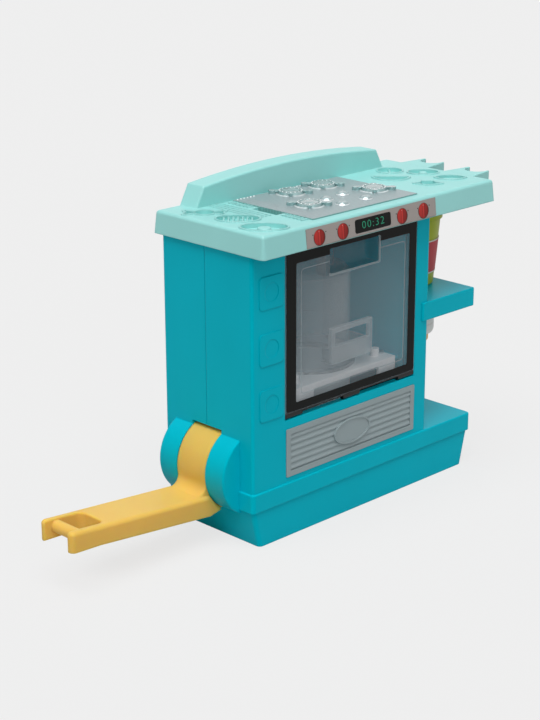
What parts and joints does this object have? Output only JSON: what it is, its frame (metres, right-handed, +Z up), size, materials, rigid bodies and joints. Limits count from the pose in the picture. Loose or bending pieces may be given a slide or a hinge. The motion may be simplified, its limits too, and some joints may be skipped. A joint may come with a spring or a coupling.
{
  "type": "toy oven",
  "caption": "Toy oven cabinet on a wide base with a press lever that raises a piston, a drop-down door, a lift-off hob sheet and a side shelf.",
  "frame": {"origin": "centre of the base underside, where the oven stands", "axes": "+X to the right seen from the door, +Y to the back, +Z up"},
  "size_m": [0.3686, 0.1016, 0.229],
  "materials": {
    "teal_shell": "moulded, satin gloss",
    "mint_top": "moulded, satin gloss",
    "silver_print": "printed film",
    "hob_grey": "translucent silver-grey, gloss",
    "smoke_clear": "clear smoke, gloss",
    "vent_grey": "moulded, satin",
    "lever_yellow": "moulded, slightly translucent",
    "steel": "bright zinc",
    "white_works": "moulded, satin",
    "milky_clear": "clear, slightly milky",
    "tub_lime": "moulded, satin gloss",
    "label_red": "printed film",
    "cup_white": "moulded, satin gloss",
    "nozzle_yellow": "moulded, satin gloss"
  },
  "bodies": {
    "cabinet": {"front_housing": "teal_shell", "rear_housing": "teal_shell", "countertop": "mint_top", "fascia_label": "silver_print", "vent_grille": "vent_grey", "lever_axle": "steel", "guide_posts": "steel", "cake_platform": "white_works", "platform_screws": "steel", "side_shelf": "teal_shell", "shelf_screws": "steel", "housing_screws": "steel"},
    "press_lever": {"lever": "lever_yellow"},
    "cake_lift": {"rack_carriage": "white_works", "piston": "white_works", "piston_screw": "steel"},
    "door": {"oven_door": "smoke_clear"},
    "hob": {"hob_sheet": "hob_grey"},
    "mould": {"cake_mould": "milky_clear"},
    "tub": {"compound_tub": "tub_lime", "tub_label": "label_red"},
    "lid": {"tub_lid": "tub_lime"},
    "icing_press": {"icing_cup": "cup_white", "icing_nozzle": "nozzle_yellow"}
  },
  "joints": [
    {"name": "lever_hinge", "type": "hinge", "parent": "cabinet", "child": "press_lever", "pos_m": [-0.0945, 0.0013, 0.04735], "axis": [0, 1, 0], "range_deg": [0, 80]},
    {"name": "cake_rise", "type": "slide", "parent": "cabinet", "child": "cake_lift", "axis": [0, 0, 1], "range_m": [-0.0364, 0]},
    {"name": "door_hinge", "type": "hinge", "parent": "cabinet", "child": "door", "pos_m": [-0.01635, -0.0396, 0.0834], "axis": [1, 0, 0], "range_deg": [0, 90]},
    {"name": "hob_lift", "type": "slide", "parent": "cabinet", "child": "hob", "axis": [0, 0, 1], "range_m": [0, 0.03]},
    {"name": "mould_lift", "type": "slide", "parent": "cabinet", "child": "mould", "axis": [0, 0, 1], "range_m": [0, 0.02]},
    {"name": "tub_draw", "type": "slide", "parent": "cabinet", "child": "tub", "axis": [0, -1, 0], "range_m": [0, 0.07]},
    {"name": "lid_lift", "type": "slide", "parent": "tub", "child": "lid", "axis": [0, 0, 1], "range_m": [0, 0.006]},
    {"name": "icing_draw", "type": "slide", "parent": "cabinet", "child": "icing_press", "axis": [0, 0, -1], "range_m": [0, 0.012]}
  ],
  "couplings": [
    {"joint": "cake_rise", "follows": "lever_hinge", "m_per_rad": -0.026}
  ]
}
